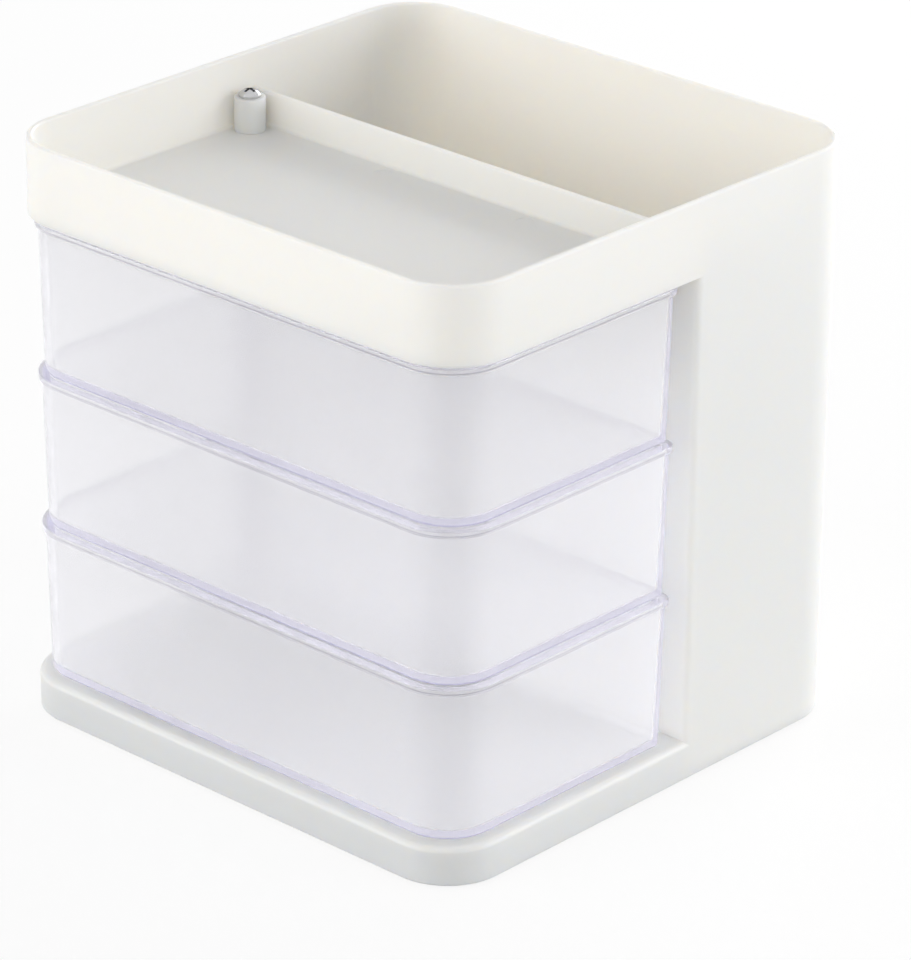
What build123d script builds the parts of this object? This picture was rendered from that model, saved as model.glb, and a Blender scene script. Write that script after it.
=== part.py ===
from build123d import *

import os

# A desktop organizer for make-up and jewellery: a one-piece moulded body with a deep compartment at the rear,
# a shallow tray on top and a low base, and three clear drawers between tray and base. The drawers swing out
# sideways about one steel rod that stands in the rear left corner of their bay.
# Millimetres, +Z up, the front at -Y. The origin is the centre of the footprint, on the surface it stands on.

# ---- body: overall sizes
body_width = 150.0
body_depth = 145.0
body_height = 153.0  # surface to rim
body_corner = 16.0  # outside radius of the upright corners
body_wall = 1.6
rim_round = 0.6  # rim's and divider's top edges
band_foot_round = 0.5  # lower outside edge of the tray band
foot_round = 0.8  # bottom edge

# ---- body: rear compartment
compartment_depth = 60.8  # back face to the wall behind the drawers
compartment_floor = 1.8
compartment_recess = 2.1  # compartment's underside, above the body's bottom edge
compartment_draft = 0.5  # narrower by this much on each side at its floor
compartment_foot_round = 1.5
column_edge_round = 1.8  # upright edges either side of the drawer bay

# ---- body: top tray and divider
tray_band = 20.0  # rim down to the tray's underside
tray_floor = 1.6
tray_foot_round = 0.9
divider_height = 8.9  # above the tray's floor
mark_radius = 2.5  # shallow marks that the mould leaves in the tray's floor
mark_depth = 0.12
mark_spacing = 47.0
mark_distance = 4.0  # divider to a mark's centre

# ---- body: base
base_height = 10.8  # surface to the base's top
base_plate = 1.8
base_edge_round = 1.5
rib_thickness = 1.2
rib_lift = 1.8  # ribs stop this far above the body's bottom edge
ribs_across = 2
ribs_along = 1

# ---- anti-slip pads
pad_radius = 5.0
pad_thickness = 1.2
pad_proud = 0.5  # pads carry the body this far above the surface
pad_chamfer = 0.3
pad_fit = 0.15  # round a pad in its pocket
pad_ledge = 1.2  # width of the ledge a pad sits against
pad_boss_wall = 1.2
pad_edge_distance = 13.0  # body's outside faces to a pad's centre

# ---- drawers
drawer_names = ("drawer_bottom", "drawer_middle", "drawer_top")
drawer_gap = 0.4  # under each drawer
bay_head_room = 1.0  # top drawer's rim to the tray's underside
drawer_wall = 1.6
drawer_floor = 1.8
drawer_draft = 0.9  # walls lean in by this much at the bottom
drawer_foot_round = 1.0
drawer_inner_round = 0.9
drawer_inset = 1.5  # body's outside face to a drawer's rim
drawer_rear_gap = 4.0  # wall behind the drawers to their rims
drawer_rear_corner = 3.4  # upright rear corners, at the rim
drawer_least_corner = 1.2  # upright rear corners, inside
lip_height = 1.5
lip_overhang = 0.8
lip_round = 0.25

# ---- hinge: three barrels on one rod
rod_radius = 2.0
rod_fit = 0.08  # running clearance of the rod in barrels and bosses
rod_end_gap = 0.15
rod_chamfer = 0.3
barrel_radius = 4.2
barrel_lip = 0.5  # a rim stands out this far round its barrel
barrel_play = 0.3  # between stacked barrels
barrel_blend = 1.0  # between a barrel and the walls it stands in
swing_gap = 0.3  # rim to the wall behind, with the drawer swung out square
boss_radius = 4.0
boss_height = 8.9  # above the tray's floor
boss_web = 1.5  # closed end of the upper boss, under the screw's head
boss_edge_round = 0.4
lower_boss_radius = 4.3
lower_boss_lift = 1.0  # lower boss's end above the body's bottom edge
lower_seat_depth = 2.6  # from there up to the lower screw's seat

# ---- screws
screw_radius = 1.45
screw_hole_fit = 0.25
screw_thread_fit = 0.05
screw_length = 9.0
screw_head_radius = 2.85
screw_head_side = 0.6
screw_head_height = 1.9
screw_pocket_fit = 0.3
cross_length = 3.4
cross_width = 0.8
cross_depth = 1.2
tapped_depth = 10.0

# ---- places worked out from the sizes above
half_width = body_width / 2
half_depth = body_depth / 2
bottom_z = pad_proud  # body's bottom edge
rib_z = bottom_z + rib_lift
plate_under_z = base_height - base_plate
tray_under_z = body_height - tray_band
tray_floor_z = tray_under_z + tray_floor
divider_top_z = tray_floor_z + divider_height
bay_rear_y = half_depth - compartment_depth  # face of the wall behind the drawers
compartment_front_y = bay_rear_y + body_wall
compartment_under_z = bottom_z + compartment_recess
compartment_floor_z = compartment_under_z + compartment_floor

drawer_pitch = (tray_under_z - base_height - bay_head_room) / len(drawer_names)
rim_left_x = drawer_inset - half_width
rim_front_y = drawer_inset - half_depth
rim_rear_y = bay_rear_y - drawer_rear_gap
rim_corner = body_corner - drawer_inset

hinge_reach = barrel_radius + barrel_lip
pivot_x = rim_left_x + hinge_reach
pivot_y = bay_rear_y - swing_gap - hinge_reach
bore_radius = rod_radius + rod_fit
boss_top_z = tray_floor_z + boss_height
lower_boss_z = bottom_z + lower_boss_lift
lower_seat_z = lower_boss_z + lower_seat_depth
rod_bottom_z = lower_seat_z + rod_end_gap
rod_top_z = boss_top_z - boss_web - rod_end_gap

pad_top_z = pad_thickness
pad_x = half_width - pad_edge_distance
pad_y = half_depth - pad_edge_distance
pad_places = {
    "pad_front_left": (-pad_x, -pad_y),
    "pad_front_right": (pad_x, -pad_y),
    "pad_rear_left": (-pad_x, pad_y),
    "pad_rear_right": (pad_x, pad_y),
}


def outline(x_low, x_high, y_low, y_high, front_radius, rear_radius=0):
    """A plan rectangle with one radius at its front corners and another at its rear corners."""
    face = Pos((x_low + x_high) / 2, (y_low + y_high) / 2) * Rectangle(x_high - x_low, y_high - y_low)
    if front_radius:
        face = fillet(face.vertices().sort_by(Axis.Y)[:2], front_radius)
    if rear_radius:
        face = fillet(face.vertices().sort_by(Axis.Y)[-2:], rear_radius)
    return face


def upright(face, z_low, z_high):
    """A straight block on a plan outline."""
    return extrude(Pos(0, 0, z_low) * face, z_high - z_low)


def leaning(low_face, z_low, high_face, z_high):
    """A block whose sides lean from one plan outline to another."""
    return loft([Pos(0, 0, z_low) * low_face, Pos(0, 0, z_high) * high_face], ruled=True)


def post(radius, z_low, z_high, x=0, y=0):
    """A round post between two heights."""
    return Pos(x, y, z_low) * Cylinder(radius, z_high - z_low, align=(Align.CENTER, Align.CENTER, Align.MIN))


def block(x_low, x_high, y_low, y_high, z_low, z_high):
    """A square block between two heights."""
    return upright(outline(x_low, x_high, y_low, y_high, 0), z_low, z_high)


def edges_at(shape, z):
    """The edges that lie level at one height."""
    return shape.edges().filter_by_position(Axis.Z, z - 1e-4, z + 1e-4)


# ---- body ------------------------------------------------------------------------------------------------


def body_plan(inset, front_y=-half_depth):
    """The body's plan outline drawn in by an inset, or the part of it behind a wall."""
    radius = body_corner - inset
    whole = front_y == -half_depth
    y_low = inset - half_depth if whole else front_y
    return outline(inset - half_width, half_width - inset, y_low, half_depth - inset, radius if whole else 0, radius)


def body_blank():
    """Base, rear column and tray band, still solid."""
    base = upright(body_plan(0), bottom_z, base_height)
    base = fillet(edges_at(base, base_height), base_edge_round)
    base = fillet(edges_at(base, bottom_z), foot_round)
    column_plan = fillet(body_plan(0, bay_rear_y).vertices().sort_by(Axis.Y)[:2], column_edge_round)
    column = upright(column_plan, bottom_z + foot_round, tray_floor_z)
    band = upright(body_plan(0), tray_under_z, body_height)
    band = fillet(edges_at(band, tray_under_z), band_foot_round)
    return base + column + band


def compartment_hollow():
    """The deep compartment at the rear, a little narrower at its floor."""
    low = body_plan(body_wall + compartment_draft, compartment_front_y + compartment_draft)
    high = body_plan(body_wall, compartment_front_y)
    hollow = leaning(low, compartment_floor_z, high, divider_top_z)
    return fillet(edges_at(hollow, compartment_floor_z), compartment_foot_round)


def tray_hollow():
    """The shallow tray in front of the divider."""
    plan = outline(body_wall - half_width, half_width - body_wall, body_wall - half_depth, bay_rear_y,
                   body_corner - body_wall)  # fmt: skip
    hollow = upright(plan, tray_floor_z, divider_top_z)
    return fillet(edges_at(hollow, tray_floor_z), tray_foot_round)


def base_hollow():
    """The space under the base's plate, less the ribs and bosses that stand in it."""
    left_x, front_y = body_wall - half_width, body_wall - half_depth
    plan = outline(left_x, -left_x, front_y, bay_rear_y, body_corner - body_wall)
    hollow = upright(plan, bottom_z, plate_under_z)
    half_rib = rib_thickness / 2
    for i in range(ribs_across):
        x = left_x * (1 - 2 * (i + 1) / (ribs_across + 1))
        hollow -= block(x - half_rib, x + half_rib, front_y, bay_rear_y, rib_z, plate_under_z)
    for i in range(ribs_along):
        y = front_y + (bay_rear_y - front_y) * (i + 1) / (ribs_along + 1)
        hollow -= block(left_x, -left_x, y - half_rib, y + half_rib, rib_z, plate_under_z)
    hollow -= post(lower_boss_radius, lower_boss_z, plate_under_z, pivot_x, pivot_y)
    hollow -= block(left_x, pivot_x, pivot_y - half_rib, pivot_y + half_rib, rib_z, plate_under_z)
    hollow -= block(pivot_x - half_rib, pivot_x + half_rib, pivot_y, bay_rear_y, rib_z, plate_under_z)
    return hollow


def body():
    """The one-piece body."""
    shape = body_blank()
    shape -= compartment_hollow()
    shape -= tray_hollow()
    shape -= upright(body_plan(body_wall), divider_top_z, body_height)
    shape = fillet(edges_at(shape, body_height), rim_round)
    divider_edges = edges_at(shape, divider_top_z).filter_by(Axis.X).sort_by(Axis.Y)[:2]
    shape = fillet(divider_edges, rim_round)
    for side in (-1, 1):
        x, y = side * mark_spacing / 2, bay_rear_y - mark_distance
        shape -= post(mark_radius, tray_floor_z - mark_depth, tray_floor_z, x, y)

    hollow = base_hollow() + upright(body_plan(body_wall, compartment_front_y), bottom_z, compartment_under_z)
    pad_hole = pad_radius + pad_fit
    for x, y in pad_places.values():
        hollow -= post(pad_hole + pad_boss_wall, bottom_z, plate_under_z, x, y)
    shape -= hollow
    for x, y in pad_places.values():
        shape -= post(pad_hole, bottom_z, pad_top_z, x, y)
        if y < 0:
            shape -= post(pad_hole - pad_ledge, pad_top_z, plate_under_z, x, y)

    boss = post(boss_radius, tray_floor_z - tray_floor / 2, boss_top_z, pivot_x, pivot_y)
    shape += fillet(edges_at(boss, boss_top_z), boss_edge_round)
    shape += post(lower_boss_radius, tray_under_z - bay_head_room + barrel_play, tray_under_z, pivot_x, pivot_y)
    shape -= post(bore_radius, lower_seat_z, boss_top_z - boss_web, pivot_x, pivot_y)
    shape -= post(screw_radius + screw_hole_fit, boss_top_z - boss_web, boss_top_z, pivot_x, pivot_y)
    shape -= post(screw_head_radius + screw_pocket_fit, lower_boss_z, lower_seat_z, pivot_x, pivot_y)
    return shape


# ---- drawers ---------------------------------------------------------------------------------------------


def drawer_plan(inset):
    """A drawer's plan outline, drawn in from its rim's outside by an inset."""
    return outline(rim_left_x + inset, -rim_left_x - inset, rim_front_y + inset, rim_rear_y - inset,
                   rim_corner - inset, max(drawer_rear_corner - inset, drawer_least_corner))  # fmt: skip


def barrel_seams(hollow):
    """The two upright edges where a drawer's hollow meets the barrel."""
    reach = 2 * barrel_radius
    near = hollow.edges().filter_by_position(Axis.X, pivot_x - reach, pivot_x + reach)
    near = near.filter_by_position(Axis.Y, pivot_y - reach, pivot_y + reach)
    return near.filter_by(lambda edge: edge.length > drawer_pitch / 2)


def drawer(level):
    """One clear drawer with its rim and its hinge barrel."""
    under_z = base_height + level * drawer_pitch + drawer_gap
    barrel_z = under_z - drawer_gap + barrel_play
    rim_z = under_z - drawer_gap + drawer_pitch
    inner_inset = lip_overhang + drawer_wall
    barrel = post(barrel_radius, barrel_z, rim_z, pivot_x, pivot_y)

    shell = leaning(drawer_plan(lip_overhang + drawer_draft), under_z, drawer_plan(lip_overhang), rim_z)
    shell = fillet(edges_at(shell, under_z), drawer_foot_round) + barrel
    hollow = leaning(drawer_plan(inner_inset + drawer_draft), under_z + drawer_floor, drawer_plan(inner_inset), rim_z)
    hollow = fillet(edges_at(hollow, under_z + drawer_floor), drawer_inner_round)
    hollow -= barrel
    hollow = fillet(barrel_seams(hollow), barrel_blend)

    lip = upright(drawer_plan(0), rim_z - lip_height, rim_z)
    lip -= block(rim_left_x, pivot_x, pivot_y, rim_rear_y, rim_z - lip_height, rim_z)
    lip += post(hinge_reach, rim_z - lip_height, rim_z, pivot_x, pivot_y)
    lip = fillet(edges_at(lip, rim_z), lip_round)
    return shell + lip - hollow - post(bore_radius, barrel_z, rim_z, pivot_x, pivot_y)


# ---- rod, screws and pads --------------------------------------------------------------------------------


def pivot_rod():
    """The steel rod, tapped at both ends."""
    rod = post(rod_radius, rod_bottom_z, rod_top_z, pivot_x, pivot_y)
    rod = chamfer(edges_at(rod, rod_top_z) + edges_at(rod, rod_bottom_z), rod_chamfer)
    hole = screw_radius + screw_thread_fit
    rod -= post(hole, rod_top_z - tapped_depth, rod_top_z, pivot_x, pivot_y)
    return rod - post(hole, rod_bottom_z, rod_bottom_z + tapped_depth, pivot_x, pivot_y)


def screw():
    """A pan-head screw with a cross recess, its seat at z = 0 and its shank below."""
    dome_rise = screw_head_height - screw_head_side
    dome_radius = (screw_head_radius**2 + dome_rise**2) / (2 * dome_rise)
    head = post(screw_head_radius, 0, screw_head_height)
    head &= Pos(0, 0, screw_head_height - dome_radius) * Sphere(dome_radius)
    for turn in (0, 90):
        arm = Rot(0, 0, turn) * Box(cross_length, cross_width, 2 * cross_depth)
        head -= Pos(0, 0, screw_head_height) * arm
    return head + post(screw_radius, -screw_length, 0)


def pad():
    """A round anti-slip pad."""
    disc = post(pad_radius, 0, pad_top_z)
    return chamfer(edges_at(disc, 0), pad_chamfer)


def sub_parts():
    """Every separate piece, in place."""
    parts = {"body": body(), "pivot_rod": pivot_rod()}
    for level, name in enumerate(drawer_names):
        parts[name] = drawer(level)
    parts["screw_top"] = Pos(pivot_x, pivot_y, boss_top_z) * screw()
    parts["screw_bottom"] = Pos(pivot_x, pivot_y, lower_seat_z) * Rot(180, 0, 0) * screw()
    for name, (x, y) in pad_places.items():
        parts[name] = Pos(x, y, 0) * pad()
    return parts


if __name__ == "__main__":
    os.makedirs("parts", exist_ok=True)
    for name, shape in sub_parts().items():
        shape.label = name
        export_step(shape, f"parts/{name}.step")
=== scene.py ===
import math

import bpy
from mathutils import Matrix, Vector


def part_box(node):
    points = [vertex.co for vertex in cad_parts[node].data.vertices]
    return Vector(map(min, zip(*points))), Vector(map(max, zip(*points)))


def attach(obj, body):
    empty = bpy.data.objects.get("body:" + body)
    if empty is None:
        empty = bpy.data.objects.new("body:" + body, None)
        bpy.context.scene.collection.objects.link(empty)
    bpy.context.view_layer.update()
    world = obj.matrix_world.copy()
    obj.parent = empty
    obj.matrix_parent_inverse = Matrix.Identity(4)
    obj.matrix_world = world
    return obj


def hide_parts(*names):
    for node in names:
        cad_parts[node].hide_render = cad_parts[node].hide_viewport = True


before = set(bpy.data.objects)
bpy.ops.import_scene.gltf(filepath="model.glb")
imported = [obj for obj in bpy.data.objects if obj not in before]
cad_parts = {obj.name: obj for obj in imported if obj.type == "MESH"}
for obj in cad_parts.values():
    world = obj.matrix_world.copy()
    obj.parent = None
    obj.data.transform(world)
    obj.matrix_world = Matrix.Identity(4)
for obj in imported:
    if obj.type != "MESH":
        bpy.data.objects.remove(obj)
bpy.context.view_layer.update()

bl_info = {
    "name": "Swing-Out Drawer Organizer",
    "version": (1, 0, 0),
    "blender": (4, 5, 0),
    "location": "View3D > Sidebar > Organizer",
    "description": "Finishes a moulded make-up organizer with clear drawers that swing out",
    "category": "Object",
}

# The organizer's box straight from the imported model, before anything is dressed.
DRAWERS = {
    "drawer_bottom": "bottom_drawer",
    "drawer_middle": "middle_drawer",
    "drawer_top": "top_drawer",
}
PADS = ("pad_front_left", "pad_front_right", "pad_rear_left", "pad_rear_right")

FULL_TURN = 2 * math.pi
SHARP_ANGLE = math.radians(32)  # edges steeper than this stay sharp
MERGE_DISTANCE = 2e-6  # metres between points that are one
WHITE = (1.0, 1.0, 1.0, 1.0)

# Past so many reflections or crossings inside the clear plastic, rays end on a painted glow that stands in
# for trapped light.
GLOW_AFTER_REFLECTIONS = 2.5
GLOW_AFTER_CROSSINGS = 9.5
CLEAR_FILM = (0.997, 0.997, 0.999, 1.0)  # what a lamp's light keeps through one face of a clear wall

FLOOR_HALF = 6.0  # metres
FLOOR_WHITE = 0.85  # share of plain white in the floor that the camera sees
LAMP_ANGLES = {  # azimuth and elevation in degrees, from the front
    "front_light": (-28.0, 10.0),
    "high_light": (-28.0, 38.0),
    "side_light": (125.0, 10.0),
    "rear_light": (190.0, 14.0),
    "fill_light": (43.0, 30.0),
}
LAMP_DISTANCE = 1.5  # metres
LAMP_SIZE = 1.0  # metres
LAMP_TARGET = Vector((0.0, 0.0, 0.07))


# ---- properties ------------------------------------------------------------------------------------------


class OrganizerPlastic(bpy.types.PropertyGroup):
    """The opaque moulded plastic of the body."""

    colour: bpy.props.FloatVectorProperty(
        name="Colour",
        description="Warm white of the moulded body",
        subtype="COLOR",
        size=4,
        min=0.0,
        max=1.0,
        default=(0.878, 0.868, 0.836, 1.0),
    )
    shade: bpy.props.FloatVectorProperty(
        name="Shade",
        description="Slightly deeper tone that clouds the colour",
        subtype="COLOR",
        size=4,
        min=0.0,
        max=1.0,
        default=(0.864, 0.851, 0.816, 1.0),
    )
    roughness: bpy.props.FloatProperty(
        name="Roughness",
        description="Middle roughness of the mould's satin polish",
        min=0.0,
        max=1.0,
        default=0.38,
        subtype="FACTOR",
    )
    grain: bpy.props.FloatProperty(
        name="Grain size",
        description="Spacing of the fine texture that the mould leaves",
        unit="LENGTH",
        min=0.0001,
        default=0.00045,
        precision=5,
    )


class OrganizerClear(bpy.types.PropertyGroup):
    """The clear plastic of the drawers."""

    tint: bpy.props.FloatVectorProperty(
        name="Tint",
        description="Faint lavender tint of the clear plastic",
        subtype="COLOR",
        size=4,
        min=0.0,
        max=1.0,
        default=(0.992, 0.991, 0.995, 1.0),
    )
    # painted glow: emission in this colour stands in for the light trapped in the clear walls, at their edges
    edge: bpy.props.FloatVectorProperty(
        name="Edge",
        description="Colour of the light that is trapped in the walls and shows at their edges",
        subtype="COLOR",
        size=4,
        min=0.0,
        max=1.0,
        default=(0.76, 0.745, 0.85, 1.0),
    )
    depth_tint: bpy.props.FloatVectorProperty(
        name="Depth tint",
        description="Lavender that builds up where light runs a long way inside the plastic",
        subtype="COLOR",
        size=4,
        min=0.0,
        max=1.0,
        default=(0.34, 0.29, 0.80, 1.0),
    )
    depth_density: bpy.props.FloatProperty(
        name="Depth density",
        description="How fast the depth tint builds up, for each metre",
        min=0.0,
        default=10.0,
    )
    lip_height: bpy.props.FloatProperty(
        name="Lip height",
        description="Height of the lip round a drawer's rim",
        unit="LENGTH",
        default=0.0015,
        precision=5,
    )
    # painted shade: height of the dark band painted on the wall just under each lip
    painted_lip_shade_height: bpy.props.FloatProperty(
        name="Lip shade",
        description="Height of the dark line under the lip",
        unit="LENGTH",
        default=0.00035,
        precision=5,
    )
    # painted shade: colour of the dark line painted under each lip
    painted_lip_shade_colour: bpy.props.FloatVectorProperty(
        name="Lip colour",
        description="Colour of the dark line under the lip",
        subtype="COLOR",
        size=4,
        min=0.0,
        max=1.0,
        default=(0.30, 0.29, 0.36, 1.0),
    )
    haze: bpy.props.FloatProperty(
        name="Haze",
        description="Roughness of the walls, which blurs what is seen through them",
        min=0.0,
        max=1.0,
        default=0.12,
        subtype="FACTOR",
    )
    ripple: bpy.props.FloatProperty(
        name="Ripple size",
        description="Spacing of the slow waves that flow leaves in the walls",
        unit="LENGTH",
        min=0.001,
        default=0.03,
        precision=4,
    )


class OrganizerHardware(bpy.types.PropertyGroup):
    """Sizes of the screws and the anti-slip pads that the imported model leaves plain."""

    screw_length: bpy.props.FloatProperty(
        name="Screw length",
        description="Shank below the head",
        unit="LENGTH",
        default=0.009,
        precision=4,
    )
    shank_radius: bpy.props.FloatProperty(
        name="Shank radius",
        description="Radius over the thread",
        unit="LENGTH",
        default=0.00145,
        precision=5,
    )
    head_side: bpy.props.FloatProperty(
        name="Head side",
        description="Height of the head's straight side",
        unit="LENGTH",
        default=0.0006,
        precision=5,
    )
    head_height: bpy.props.FloatProperty(
        name="Head height",
        description="Height of the domed head",
        unit="LENGTH",
        default=0.0019,
        precision=5,
    )
    thread_pitch: bpy.props.FloatProperty(
        name="Thread pitch",
        description="Rise of one turn of the thread",
        unit="LENGTH",
        default=0.0005,
        precision=5,
    )
    cross_length: bpy.props.FloatProperty(
        name="Cross length",
        description="Span of the driver's cross",
        unit="LENGTH",
        default=0.0034,
        precision=5,
    )
    cross_width: bpy.props.FloatProperty(
        name="Cross width",
        description="Width of each wing of the cross",
        unit="LENGTH",
        default=0.0008,
        precision=5,
    )
    ring_count: bpy.props.FloatProperty(
        name="Rings", description="Grip rings moulded into each pad", min=1.0, default=4.0
    )
    ring_depth: bpy.props.FloatProperty(
        name="Ring depth",
        description="Depth of the grip rings",
        unit="LENGTH",
        default=0.0002,
        precision=5,
    )


class OrganizerStage(bpy.types.PropertyGroup):
    """The camera's place and the studio light."""

    azimuth: bpy.props.FloatProperty(
        name="Azimuth",
        description="Camera's turn to the right of the front",
        subtype="ANGLE",
        default=math.radians(42.705),
    )
    elevation: bpy.props.FloatProperty(
        name="Elevation",
        description="Camera's height above the horizon, as an angle",
        subtype="ANGLE",
        default=math.radians(24.248),
    )
    roll: bpy.props.FloatProperty(
        name="Roll",
        description="Camera's tilt about its own axis",
        subtype="ANGLE",
        default=math.radians(0.501),
    )
    distance: bpy.props.FloatProperty(
        name="Distance",
        description="Camera to its target",
        unit="LENGTH",
        default=1.27798,
        precision=4,
    )
    target: bpy.props.FloatVectorProperty(
        name="Target",
        description="Point the camera looks at",
        subtype="XYZ",
        unit="LENGTH",
        size=3,
        default=(0.008548, 0.0, 0.064335),
        precision=4,
    )
    lens: bpy.props.FloatProperty(
        name="Lens",
        description="Focal length of the camera",
        unit="CAMERA",
        min=1.0,
        default=194.448,
    )
    ambient: bpy.props.FloatProperty(
        name="Ambient",
        description="Strength of the even light from all round",
        min=0.0,
        default=0.45,
    )
    front_light: bpy.props.FloatProperty(
        name="Front light",
        description="Power of the low soft light at the front left",
        unit="POWER",
        default=9.4,
    )
    high_light: bpy.props.FloatProperty(
        name="High light",
        description="Power of the high soft light at the front left",
        unit="POWER",
        default=1.6,
    )
    side_light: bpy.props.FloatProperty(
        name="Side light",
        description="Power of the soft light at the right rear",
        unit="POWER",
        default=12.3,
    )
    rear_light: bpy.props.FloatProperty(
        name="Rear light",
        description="Power of the soft light behind the organizer",
        unit="POWER",
        default=15.0,
    )
    fill_light: bpy.props.FloatProperty(
        name="Fill light",
        description="Power of the soft light behind the camera",
        unit="POWER",
        default=2.3,
    )


# ---- node helpers ----------------------------------------------------------------------------------------


def new_group(name, kind, inputs, outputs):
    """An empty node group with named sockets; inputs are (name, socket type, default)."""
    group = bpy.data.node_groups.new(name, kind)
    for label, socket, default in inputs:
        item = group.interface.new_socket(label, in_out="INPUT", socket_type=socket)
        if default is not None:
            item.default_value = default
    for label, socket in outputs:
        group.interface.new_socket(label, in_out="OUTPUT", socket_type=socket)
    return group, group.nodes.new("NodeGroupInput"), group.nodes.new("NodeGroupOutput")


def add(tree, kind, settings=None, **sockets):
    """A node with its settings, and its inputs set to values or linked from sockets.

    An input is named with _ for each space, or by its number as i0, i1 and so on.
    """
    node = tree.nodes.new(kind)
    for key, value in (settings or {}).items():
        setattr(node, key, value)
    for key, value in sockets.items():
        numbered = key[0] == "i" and key[1:].isdigit()
        socket = node.inputs[int(key[1:]) if numbered else key.replace("_", " ")]
        if isinstance(value, bpy.types.NodeSocket):
            tree.links.new(value, socket)
        else:
            socket.default_value = value
    return node


def maths(tree, operation, first, second=0.0, third=0.0):
    """The result of a Math node."""
    node = add(tree, "ShaderNodeMath", {"operation": operation}, i0=first, i1=second, i2=third)
    return node.outputs[0]


def blend_colours(tree, factor, first, second):
    """The result of a colour Mix node."""
    node = add(tree, "ShaderNodeMix", {"data_type": "RGBA"}, i0=factor, i6=first, i7=second)
    return node.outputs[2]


def seen_directly(tree):
    """One for rays from the camera, and for those a mirror or clear plastic passes on, or else zero."""
    ray = tree.nodes.new("ShaderNodeLightPath").outputs
    passed_on = maths(tree, "MAXIMUM", ray["Is Glossy Ray"], ray["Is Transmission Ray"])
    return maths(tree, "MAXIMUM", ray["Is Camera Ray"], passed_on)


def shader_material(name):
    """A material with its surface shader and its place on the piece, in metres."""
    material = bpy.data.materials.new(name)
    material.use_nodes = True
    tree = material.node_tree
    place = tree.nodes.new("ShaderNodeTexCoord").outputs["Object"]
    return material, tree, tree.nodes["Principled BSDF"], place


# ---- shared effects --------------------------------------------------------------------------------------


def moulded_surface_group():
    """Colour clouding, satin roughness and the fine grain that a mould leaves on plastic."""
    group, into, out = new_group(
        "Moulded Surface",
        "ShaderNodeTree",
        [
            ("Place", "NodeSocketVector", None),
            ("Colour", "NodeSocketColor", (0.8, 0.8, 0.8, 1.0)),
            ("Shade", "NodeSocketColor", (0.7, 0.7, 0.7, 1.0)),
            ("Cloud Scale", "NodeSocketFloat", 25.0),
            ("Roughness", "NodeSocketFloat", 0.4),
            ("Roughness Spread", "NodeSocketFloat", 0.08),
            ("Grain Scale", "NodeSocketFloat", 2200.0),
        ],
        [("Colour", "NodeSocketColor"), ("Roughness", "NodeSocketFloat"), ("Height", "NodeSocketFloat")],
    )
    get = into.outputs
    clouds = add(
        group, "ShaderNodeTexNoise", Vector=get["Place"], Scale=get["Cloud Scale"], Detail=3.0, Roughness=0.5
    )
    colour = blend_colours(group, clouds.outputs["Fac"], get["Colour"], get["Shade"])
    smears_per_cloud = 3.7
    smear_scale = maths(group, "MULTIPLY", get["Cloud Scale"], smears_per_cloud)
    smear = add(
        group, "ShaderNodeTexNoise", Vector=get["Place"], Scale=smear_scale, Detail=4.0, Roughness=0.6
    )
    about_zero = maths(group, "SUBTRACT", smear.outputs["Fac"], 0.5)
    offset = maths(group, "MULTIPLY", about_zero, get["Roughness Spread"])
    roughness = maths(group, "ADD", get["Roughness"], offset)
    grain = add(
        group, "ShaderNodeTexNoise", Vector=get["Place"], Scale=get["Grain Scale"], Detail=2.0, Roughness=0.5
    )
    group.links.new(colour, out.inputs["Colour"])
    group.links.new(roughness, out.inputs["Roughness"])
    group.links.new(grain.outputs["Fac"], out.inputs["Height"])
    return group


def use_group(tree, group, **sockets):
    """A group node with its inputs set."""
    return add(tree, "ShaderNodeGroup", {"node_tree": group}, **sockets)


# ---- turned pieces, made by node trees -------------------------------------------------------------------


def turned_surface(tree, segments, rows):
    """A flat grid to bend into a turned form, its angle round the axis and its way along the profile."""
    grid = add(
        tree, "GeometryNodeMeshGrid", Size_X=1.0, Size_Y=1.0, Vertices_X=segments + 1, Vertices_Y=rows
    )
    place = add(tree, "ShaderNodeSeparateXYZ", i0=tree.nodes.new("GeometryNodeInputPosition").outputs[0])
    angle = maths(tree, "MULTIPLY", maths(tree, "ADD", place.outputs["X"], 0.5), FULL_TURN)
    return grid.outputs["Mesh"], angle, maths(tree, "ADD", place.outputs["Y"], 0.5)


def bend(tree, grid, angle, radius, height):
    """The grid bent round the axis to a radius and a height."""
    x = maths(tree, "MULTIPLY", radius, maths(tree, "COSINE", angle))
    y = maths(tree, "MULTIPLY", radius, maths(tree, "SINE", angle))
    place = add(tree, "ShaderNodeCombineXYZ", X=x, Y=y, Z=height)
    return add(tree, "GeometryNodeSetPosition", Geometry=grid, Position=place.outputs[0]).outputs[0]


def stretch(tree, way, start, end):
    """0 before start, 1 after end, and even between them."""
    node = add(tree, "ShaderNodeMapRange", {"clamp": True}, Value=way)
    for name, value in {"From Min": start, "From Max": end, "To Min": 0.0, "To Max": 1.0}.items():
        node.inputs[name].default_value = value
    return node.outputs["Result"]


def close_up(tree, *surfaces):
    """The surfaces joined into one closed form that faces outwards."""
    joined = tree.nodes.new("GeometryNodeJoinGeometry")
    for surface in surfaces:
        tree.links.new(surface, joined.inputs[0])
    merged = add(tree, "GeometryNodeMergeByDistance", Geometry=joined.outputs[0], Distance=MERGE_DISTANCE)
    return add(tree, "GeometryNodeFlipFaces", Mesh=merged.outputs[0]).outputs[0]


def set_out(tree, points, shape, turns, material, out):
    """The shape repeated on the points and made solid geometry with its material."""
    placed = add(tree, "GeometryNodeInstanceOnPoints", Points=points, Instance=shape, Rotation=turns)
    solid = add(tree, "GeometryNodeRealizeInstances", Geometry=placed.outputs[0])
    done = add(tree, "GeometryNodeSetMaterial", Geometry=solid.outputs[0], Material=material)
    tree.links.new(done.outputs[0], out.inputs[0])


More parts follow.
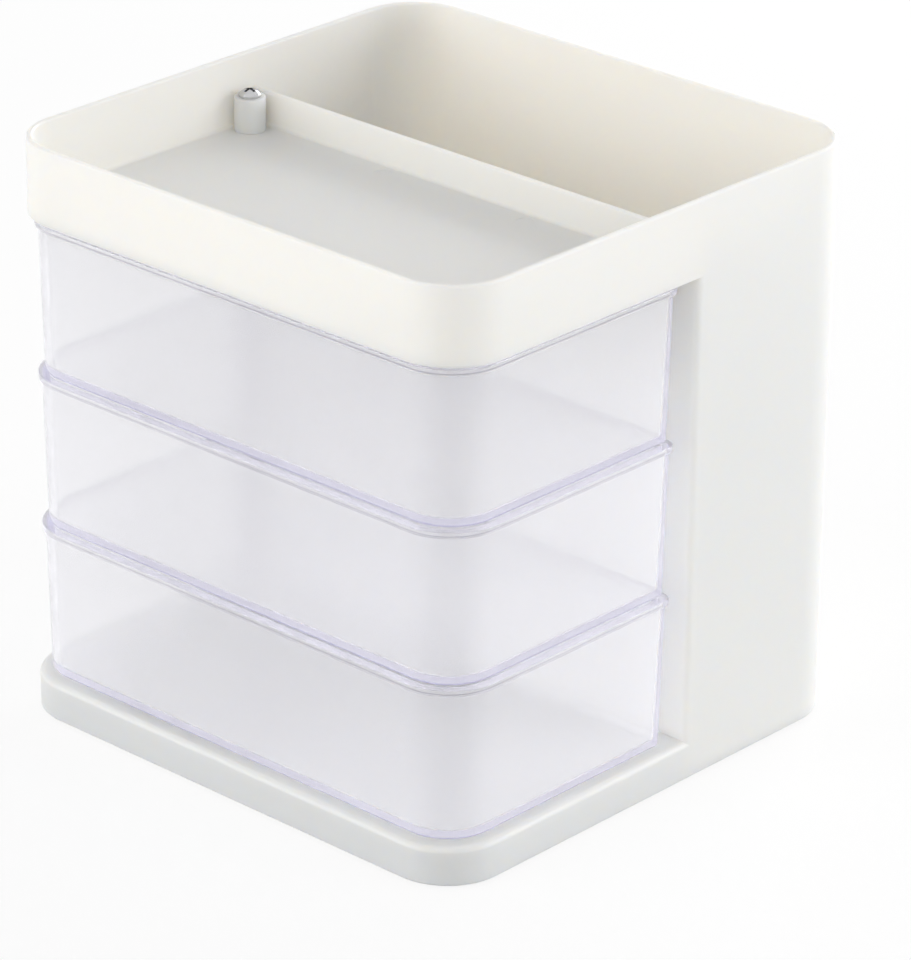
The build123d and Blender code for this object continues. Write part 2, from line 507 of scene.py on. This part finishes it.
def cross_screws_tree():
    """Pan-head screws with a cross recess and a cut thread, the first upright and the next upside down."""
    length = "NodeSocketFloat"
    tree, into, out = new_group(
        "Cross Screws",
        "GeometryNodeTree",
        [
            ("First Seat", "NodeSocketVector", None),
            ("To Next Seat", "NodeSocketVector", None),
            ("Head Radius", length, 0.003),
            ("Head Side", length, 0.0006),
            ("Head Height", length, 0.0019),
            ("Shank Radius", length, 0.0015),
            ("Shank Length", length, 0.009),
            ("Thread Pitch", length, 0.0005),
            ("Cross Length", length, 0.0034),
            ("Cross Width", length, 0.0008),
            ("Material", "NodeSocketMaterial", None),
        ],
        [("Geometry", "NodeSocketGeometry")],
    )
    get = into.outputs
    rise = maths(tree, "SUBTRACT", get["Head Height"], get["Head Side"])
    square = maths(tree, "MULTIPLY", get["Head Radius"], get["Head Radius"])
    span = maths(tree, "MULTIPLY_ADD", rise, rise, square)
    ball = maths(tree, "DIVIDE", span, maths(tree, "MULTIPLY", rise, 2.0))

    segments = 48
    dome_end = 0.8  # the dome's share of the head's profile, before the straight side
    grid, angle, way = turned_surface(tree, segments, 16)
    radius = maths(tree, "MULTIPLY", get["Head Radius"], stretch(tree, way, 0.0, dome_end))
    radius_squared = maths(tree, "MULTIPLY", radius, radius)
    chord = maths(tree, "SUBTRACT", maths(tree, "MULTIPLY", ball, ball), radius_squared)
    ball_centre = maths(tree, "SUBTRACT", get["Head Height"], ball)
    dome = maths(tree, "ADD", maths(tree, "SQRT", chord), ball_centre)
    drop = maths(tree, "MULTIPLY", get["Head Side"], stretch(tree, way, dome_end, 1.0))
    head = bend(tree, grid, angle, radius, maths(tree, "SUBTRACT", dome, drop))

    # Shares of the shank's profile: the head's underside, the plain neck, the thread and the tip.
    under_end = 0.02
    neck_end = 0.10
    thread_full = 0.12
    tip_start = 0.96
    grid, angle, way = turned_surface(tree, segments, 150)
    under = maths(tree, "SUBTRACT", 1.0, stretch(tree, way, 0.0, under_end))
    down = stretch(tree, way, under_end, 1.0)
    depth = maths(tree, "MULTIPLY", get["Shank Length"], down)
    turns_down = maths(tree, "DIVIDE", depth, get["Thread Pitch"])
    turns = maths(tree, "ADD", turns_down, maths(tree, "DIVIDE", angle, FULL_TURN))
    flank = maths(tree, "ABSOLUTE", maths(tree, "SUBTRACT", maths(tree, "FRACT", turns), 0.5))
    groove = maths(tree, "MULTIPLY", flank, get["Thread Pitch"])
    cut = maths(tree, "MULTIPLY", groove, stretch(tree, way, neck_end, thread_full))
    thread = maths(tree, "SUBTRACT", get["Shank Radius"], cut)
    taper = maths(tree, "SUBTRACT", 1.0, stretch(tree, way, tip_start, 1.0))
    overhang = maths(tree, "SUBTRACT", get["Head Radius"], get["Shank Radius"])
    wide = maths(tree, "MULTIPLY", overhang, under)
    radius = maths(tree, "MULTIPLY", maths(tree, "ADD", thread, wide), taper)
    shank = bend(tree, grid, angle, radius, maths(tree, "MULTIPLY", depth, -1.0))

    cutter = tree.nodes.new("GeometryNodeMeshBoolean")
    cutter.operation = "DIFFERENCE"
    tree.links.new(close_up(tree, head, shank), cutter.inputs["Mesh 1"])
    cutter_height = 1.3  # of the head's height; half of it goes down into the head
    deep = maths(tree, "MULTIPLY", get["Head Height"], cutter_height)
    sizes = [(get["Cross Length"], get["Cross Width"]), (get["Cross Width"], get["Cross Length"])]
    for x, y in sizes:
        size = add(tree, "ShaderNodeCombineXYZ", X=x, Y=y, Z=deep)
        wing = add(tree, "GeometryNodeMeshCube", Size=size.outputs[0]).outputs["Mesh"]
        lift = add(tree, "ShaderNodeCombineXYZ", X=0.0, Y=0.0, Z=get["Head Height"])
        wing = add(tree, "GeometryNodeTransform", Geometry=wing, Translation=lift.outputs[0])
        tree.links.new(wing.outputs[0], cutter.inputs["Mesh 2"])

    first, step = get["First Seat"], get["To Next Seat"]
    seats = add(tree, "GeometryNodeMeshLine", Count=2, Start_Location=first, Offset=step)
    half_turn = maths(tree, "MULTIPLY", tree.nodes.new("GeometryNodeInputIndex").outputs[0], math.pi)
    turn = add(tree, "ShaderNodeCombineXYZ", X=half_turn, Y=0.0, Z=0.0)
    set_out(tree, seats.outputs[0], cutter.outputs[0], turn.outputs[0], get["Material"], out)
    return tree


def grip_pads_tree():
    """Round pads with grip rings underneath, one at each corner of a rectangle."""
    length = "NodeSocketFloat"
    tree, into, out = new_group(
        "Grip Pads",
        "GeometryNodeTree",
        [
            ("Spacing X", length, 0.12),
            ("Spacing Y", length, 0.12),
            ("Radius", length, 0.005),
            ("Thickness", length, 0.0012),
            ("Rings", length, 4.0),
            ("Ring Depth", length, 0.0002),
            ("Material", "NodeSocketMaterial", None),
        ],
        [("Geometry", "NodeSocketGeometry")],
    )
    get = into.outputs
    # Shares of a pad's profile: the underside out to the edge, the side, and the top back to the middle.
    under_end = 0.8
    side_end = 0.88
    edge_start = 0.9  # of the underside, where its outer edge begins to lift
    grid, angle, way = turned_surface(tree, 64, 90)
    out_way = stretch(tree, way, 0.0, under_end)
    up_way = stretch(tree, way, under_end, side_end)
    back_way = stretch(tree, way, side_end, 1.0)
    radius = maths(tree, "MULTIPLY", get["Radius"], maths(tree, "SUBTRACT", out_way, back_way))
    ring_angle = maths(tree, "MULTIPLY", maths(tree, "MULTIPLY", out_way, get["Rings"]), FULL_TURN)
    wave = maths(tree, "COSINE", ring_angle)
    groove = maths(tree, "MULTIPLY", maths(tree, "MULTIPLY_ADD", wave, -0.5, 0.5), get["Ring Depth"])
    lift = maths(tree, "POWER", stretch(tree, out_way, edge_start, 1.0), 2.0)
    low = maths(tree, "MAXIMUM", groove, maths(tree, "MULTIPLY", lift, get["Ring Depth"]))
    side = maths(tree, "MULTIPLY", maths(tree, "SUBTRACT", get["Thickness"], low), up_way)
    height = maths(tree, "ADD", low, side)
    pad = close_up(tree, bend(tree, grid, angle, radius, height))
    corners = add(
        tree, "GeometryNodeMeshGrid", Size_X=get["Spacing X"], Size_Y=get["Spacing Y"],
        Vertices_X=2, Vertices_Y=2,
    )  # fmt: skip
    set_out(tree, corners.outputs["Mesh"], pad, (0.0, 0.0, 0.0), get["Material"], out)
    return tree


def grow(name, tree, values):
    """A plain mesh object that a node tree makes from its named inputs."""
    piece = bpy.data.objects.new(name, bpy.data.meshes.new(name))
    bpy.context.scene.collection.objects.link(piece)
    modifier = piece.modifiers.new("Make", "NODES")
    modifier.node_group = tree
    for socket in tree.interface.items_tree:
        if socket.name in values:
            modifier[socket.identifier] = values[socket.name]
    graph = bpy.context.evaluated_depsgraph_get()
    plain = bpy.data.meshes.new_from_object(piece.evaluated_get(graph))
    piece.modifiers.remove(modifier)
    piece.data = plain
    plain.name = name
    plain.shade_smooth()
    plain.set_sharp_from_angle(angle=SHARP_ANGLE)
    if not plain.polygons:
        raise RuntimeError(f"{name}: its node tree made no faces")
    return piece


def middle(node):
    """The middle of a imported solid's box."""
    low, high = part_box(node)
    return (Vector(low) + Vector(high)) / 2


# ---- finishes --------------------------------------------------------------------------------------------


def wire_surface(tree, shader, surface, strength, distance, colour=None):
    """The shared surface wired to a shader, its grain as a bump with a strength and a depth in metres."""
    bump = add(tree, "ShaderNodeBump", Strength=strength, Distance=distance, Height=surface.outputs["Height"])
    tree.links.new(colour or surface.outputs["Colour"], shader.inputs["Base Color"])
    tree.links.new(surface.outputs["Roughness"], shader.inputs["Roughness"])
    tree.links.new(bump.outputs["Normal"], shader.inputs["Normal"])


def let_light_through(tree, shader, edge):
    """Lamps shine through a clear wall as through thin film, and rays that stay too long inside it end on a
    painted glow, which shows at its edges.
    """
    ray = tree.nodes.new("ShaderNodeLightPath").outputs
    # painted glow: an emission, not real light, where rays have reflected or crossed too often inside the
    # plastic
    glow = add(tree, "ShaderNodeEmission", Color=edge, Strength=1.0)
    bounced = maths(tree, "GREATER_THAN", ray["Glossy Depth"], GLOW_AFTER_REFLECTIONS)
    crossed = maths(tree, "GREATER_THAN", ray["Transmission Depth"], GLOW_AFTER_CROSSINGS)
    painted_glow_mask = maths(tree, "MAXIMUM", bounced, crossed)
    lit = add(tree, "ShaderNodeMixShader", i0=painted_glow_mask, i1=shader.outputs[0], i2=glow.outputs[0])
    film = add(tree, "ShaderNodeBsdfTransparent", Color=CLEAR_FILM)
    mix = add(tree, "ShaderNodeMixShader", i0=ray["Is Shadow Ray"], i1=lit.outputs[0], i2=film.outputs[0])
    tree.links.new(mix.outputs[0], tree.nodes["Material Output"].inputs["Surface"])


def body_plastic(group, look):
    """Warm white satin plastic."""
    material, tree, shader, place = shader_material("Warm White Plastic")
    surface = use_group(
        tree, group, Place=place, Colour=look.colour, Shade=look.shade, Cloud_Scale=18.0,
        Roughness=look.roughness, Roughness_Spread=0.10, Grain_Scale=1.0 / look.grain,
    )  # fmt: skip
    wire_surface(tree, shader, surface, 0.05, 0.0002)
    shader.inputs["IOR"].default_value = 1.5
    shader.inputs["Specular IOR Level"].default_value = 0.45
    shader.inputs["Subsurface Weight"].default_value = 1.0
    shader.inputs["Subsurface Radius"].default_value = (1.0, 0.88, 0.72)
    shader.inputs["Subsurface Scale"].default_value = 0.004
    return material


def painted_lip_shade_mask(tree, place, look):
    """One in the painted shade line under the lip of each drawer, and zero elsewhere."""
    rims = sorted(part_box(node)[1][2] for node in DRAWERS)
    pitch = rims[-1] - rims[-2]
    height = add(tree, "ShaderNodeSeparateXYZ", Vector=place).outputs["Z"]
    below_rim = maths(tree, "WRAP", maths(tree, "SUBTRACT", rims[-1], height), pitch, 0.0)
    past_lip = maths(tree, "GREATER_THAN", below_rim, look.lip_height)
    before_wall = maths(tree, "LESS_THAN", below_rim, look.lip_height + look.painted_lip_shade_height)
    return maths(tree, "MULTIPLY", past_lip, before_wall)


def clear_plastic(group, look):
    """Clear polished plastic with a faint tint and a little haze."""
    material, tree, shader, place = shader_material("Clear Lavender Plastic")
    surface = use_group(
        tree, group, Place=place, Colour=look.tint, Shade=look.tint, Cloud_Scale=12.0,
        Roughness=look.haze, Roughness_Spread=0.05, Grain_Scale=1.0 / look.ripple,
    )  # fmt: skip
    # painted shade: the clear plastic's colour darkened in a thin band under each lip
    tint = blend_colours(tree, painted_lip_shade_mask(tree, place, look), surface.outputs["Colour"], look.painted_lip_shade_colour)
    wire_surface(tree, shader, surface, 0.02, 0.0004, tint)
    shader.inputs["IOR"].default_value = 1.56
    shader.inputs["Transmission Weight"].default_value = 0.78
    # painted glow at the edges of the clear walls
    let_light_through(tree, shader, look.edge)
    depth = add(tree, "ShaderNodeVolumeAbsorption", Color=look.depth_tint, Density=look.depth_density)
    tree.links.new(depth.outputs["Volume"], tree.nodes["Material Output"].inputs["Volume"])
    return material


def steel(group):
    """Plated steel with a fine even grain."""
    material, tree, shader, place = shader_material("Plated Steel")
    surface = use_group(
        tree, group, Place=place, Colour=(0.62, 0.62, 0.63, 1.0), Shade=(0.5, 0.5, 0.51, 1.0),
        Cloud_Scale=400.0, Roughness=0.24, Roughness_Spread=0.2, Grain_Scale=3000.0,
    )  # fmt: skip
    wire_surface(tree, shader, surface, 0.15, 0.00005)
    shader.inputs["Metallic"].default_value = 1.0
    return material


def pad_rubber(group):
    """Matt light grey rubber."""
    material, tree, shader, place = shader_material("Light Grey Rubber")
    surface = use_group(
        tree, group, Place=place, Colour=(0.62, 0.62, 0.60, 1.0), Shade=(0.5, 0.5, 0.48, 1.0),
        Cloud_Scale=300.0, Roughness=0.75, Roughness_Spread=0.15, Grain_Scale=2500.0,
    )  # fmt: skip
    wire_surface(tree, shader, surface, 0.4, 0.0001)
    return material


def studio_white():
    """The floor: matt and pale, and almost white where it is seen, with the organizer's shadow kept."""
    lit_grey = (0.8, 0.8, 0.8, 1.0)
    fibre_grey = (0.9, 0.9, 0.9, 1.0)
    fibre_strength = 0.01
    material, tree, shader, place = shader_material("Studio White")
    seen = seen_directly(tree)
    fibre = add(tree, "ShaderNodeTexNoise", Vector=place, Scale=90.0, Detail=2.0)
    mottle = maths(tree, "MULTIPLY", fibre.outputs["Fac"], fibre_strength)
    tint = blend_colours(tree, seen, lit_grey, blend_colours(tree, mottle, WHITE, fibre_grey))
    tree.links.new(tint, shader.inputs["Base Color"])
    shader.inputs["Roughness"].default_value = 1.0
    shader.inputs["Specular IOR Level"].default_value = 0.0
    glow = add(tree, "ShaderNodeEmission", Color=WHITE, Strength=1.0)
    share = maths(tree, "MULTIPLY", seen, FLOOR_WHITE)
    mix = add(tree, "ShaderNodeMixShader", i0=share, i1=shader.outputs[0], i2=glow.outputs[0])
    tree.links.new(mix.outputs[0], tree.nodes["Material Output"].inputs["Surface"])
    return material


def finish_node(node, material):
    """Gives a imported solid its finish."""
    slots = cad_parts[node].data.materials
    slots.clear()
    slots.append(material)


def shared_surface():
    """The shared group, built once."""
    return bpy.data.node_groups.get("Moulded Surface") or moulded_surface_group()


# ---- operators -------------------------------------------------------------------------------------------


class ORGANIZER_OT_body(bpy.types.Operator):
    """Finish the moulded body"""

    bl_idname = "organizer.body"
    bl_label = "Body"

    def execute(self, context):
        finish_node("body", body_plastic(shared_surface(), context.scene.organizer_plastic))
        return {"FINISHED"}


class ORGANIZER_OT_drawers(bpy.types.Operator):
    """Finish the three clear drawers"""

    bl_idname = "organizer.drawers"
    bl_label = "Drawers"

    def execute(self, context):
        finish = clear_plastic(shared_surface(), context.scene.organizer_clear)
        for node in DRAWERS:
            finish_node(node, finish)
        return {"FINISHED"}


class ORGANIZER_OT_hardware(bpy.types.Operator):
    """Finish the pivot rod and its two screws"""

    bl_idname = "organizer.hardware"
    bl_label = "Rod and screws"

    def execute(self, context):
        sizes = context.scene.organizer_hardware
        finish = steel(shared_surface())
        finish_node("pivot_rod", finish)
        low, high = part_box("screw_top")
        first = Vector((middle("screw_top").x, middle("screw_top").y, low[2] + sizes.screw_length))
        second = Vector((first.x, first.y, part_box("screw_bottom")[1][2] - sizes.screw_length))
        screws = grow("cross_screws", cross_screws_tree(), {
            "First Seat": first,
            "To Next Seat": second - first,
            "Head Radius": (high[0] - low[0]) / 2,
            "Head Side": sizes.head_side,
            "Head Height": sizes.head_height,
            "Shank Radius": sizes.shank_radius,
            "Shank Length": sizes.screw_length,
            "Thread Pitch": sizes.thread_pitch,
            "Cross Length": sizes.cross_length,
            "Cross Width": sizes.cross_width,
            "Material": finish,
        })  # fmt: skip
        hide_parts("screw_top", "screw_bottom")
        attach(screws, "stand")
        return {"FINISHED"}


class ORGANIZER_OT_pads(bpy.types.Operator):
    """Finish the anti-slip pads"""

    bl_idname = "organizer.pads"
    bl_label = "Pads"

    def execute(self, context):
        sizes = context.scene.organizer_hardware
        low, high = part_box(PADS[0])
        span = middle(PADS[3]) - middle(PADS[0])
        pads = grow("grip_pads", grip_pads_tree(), {
            "Spacing X": span.x,
            "Spacing Y": span.y,
            "Radius": (high[0] - low[0]) / 2,
            "Thickness": high[2] - low[2],
            "Rings": sizes.ring_count,
            "Ring Depth": sizes.ring_depth,
            "Material": pad_rubber(shared_surface()),
        })  # fmt: skip
        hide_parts(*PADS)
        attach(pads, "stand")
        return {"FINISHED"}


def direction(azimuth, elevation):
    """The way from the organizer to something at an azimuth from the front and an elevation."""
    flat = math.cos(elevation)
    return Vector((math.sin(azimuth) * flat, -math.cos(azimuth) * flat, math.sin(elevation)))


def place_camera(scene, stage):
    """The camera at the photograph's viewing angle."""
    data = bpy.data.cameras.new("Camera")
    data.lens = stage.lens
    camera = bpy.data.objects.new("Camera", data)
    scene.collection.objects.link(camera)
    back = direction(stage.azimuth, stage.elevation)
    right = Vector((math.cos(stage.azimuth), math.sin(stage.azimuth), 0.0))
    up = back.cross(right)
    cosine, sine = math.cos(stage.roll), math.sin(stage.roll)
    axes = Matrix((cosine * right + sine * up, cosine * up - sine * right, back)).transposed().to_4x4()
    camera.matrix_world = Matrix.Translation(Vector(stage.target) + back * stage.distance) @ axes
    scene.camera = camera


def soft_light(scene, name, power, azimuth, elevation):
    """A square soft light that faces the organizer, its angles in degrees."""
    data = bpy.data.lights.new(name, "AREA")
    data.energy = power
    data.size = LAMP_SIZE
    lamp = bpy.data.objects.new(name, data)
    scene.collection.objects.link(lamp)
    back = direction(math.radians(azimuth), math.radians(elevation))
    facing = back.to_track_quat("Z", "Y").to_matrix().to_4x4()
    lamp.matrix_world = Matrix.Translation(LAMP_TARGET + back * LAMP_DISTANCE) @ facing


def studio_floor(scene):
    """The plain floor under the organizer."""
    mesh = bpy.data.meshes.new("floor")
    half = FLOOR_HALF
    corners = [(-half, -half, 0), (half, -half, 0), (half, half, 0), (-half, half, 0)]
    mesh.from_pydata(corners, [], [(0, 1, 2, 3)])
    floor = bpy.data.objects.new("floor", mesh)
    scene.collection.objects.link(floor)
    mesh.materials.append(studio_white())


def studio_world(scene, ambient):
    """Even light from all round, and a white background where it is seen."""
    world = bpy.data.worlds.new("Studio")
    world.use_nodes = True
    tree = world.node_tree
    seen = seen_directly(tree)
    strength = add(tree, "ShaderNodeMix", {"data_type": "FLOAT"}, i0=seen, i2=ambient, i3=1.0)
    back = tree.nodes["Background"]
    back.inputs["Color"].default_value = WHITE
    tree.links.new(strength.outputs[0], back.inputs["Strength"])
    scene.world = world


class ORGANIZER_OT_stage(bpy.types.Operator):
    """Set up the floor, the studio light and the camera"""

    bl_idname = "organizer.stage"
    bl_label = "Stage"

    def execute(self, context):
        scene = context.scene
        stage = scene.organizer_stage
        scene.view_settings.view_transform = "Standard"
        studio_floor(scene)
        studio_world(scene, stage.ambient)
        for name, (azimuth, elevation) in LAMP_ANGLES.items():
            soft_light(scene, name, getattr(stage, name), azimuth, elevation)
        place_camera(scene, stage)
        return {"FINISHED"}


class ORGANIZER_PT_panel(bpy.types.Panel):
    """The organizer's pieces, in the order they are made"""

    bl_idname = "ORGANIZER_PT_panel"
    bl_label = "Organizer"
    bl_space_type = "VIEW_3D"
    bl_region_type = "UI"
    bl_category = "Organizer"

    def draw(self, context):
        for operator in OPERATORS:
            self.layout.operator(operator.bl_idname)


PROPERTY_GROUPS = {
    "organizer_plastic": OrganizerPlastic,
    "organizer_clear": OrganizerClear,
    "organizer_hardware": OrganizerHardware,
    "organizer_stage": OrganizerStage,
}
OPERATORS = (
    ORGANIZER_OT_body,
    ORGANIZER_OT_drawers,
    ORGANIZER_OT_hardware,
    ORGANIZER_OT_pads,
    ORGANIZER_OT_stage,
)


def register():
    for name, group in PROPERTY_GROUPS.items():
        bpy.utils.register_class(group)
        setattr(bpy.types.Scene, name, bpy.props.PointerProperty(type=group))
    for operator in OPERATORS:
        bpy.utils.register_class(operator)
    bpy.utils.register_class(ORGANIZER_PT_panel)


def unregister():
    bpy.utils.unregister_class(ORGANIZER_PT_panel)
    for operator in reversed(OPERATORS):
        bpy.utils.unregister_class(operator)
    for name, group in PROPERTY_GROUPS.items():
        delattr(bpy.types.Scene, name)
        bpy.utils.unregister_class(group)


def main():
    register()
    bpy.ops.organizer.body()
    bpy.ops.organizer.drawers()
    bpy.ops.organizer.hardware()
    bpy.ops.organizer.pads()
    bpy.ops.organizer.stage()


if __name__ == "__main__":
    main()
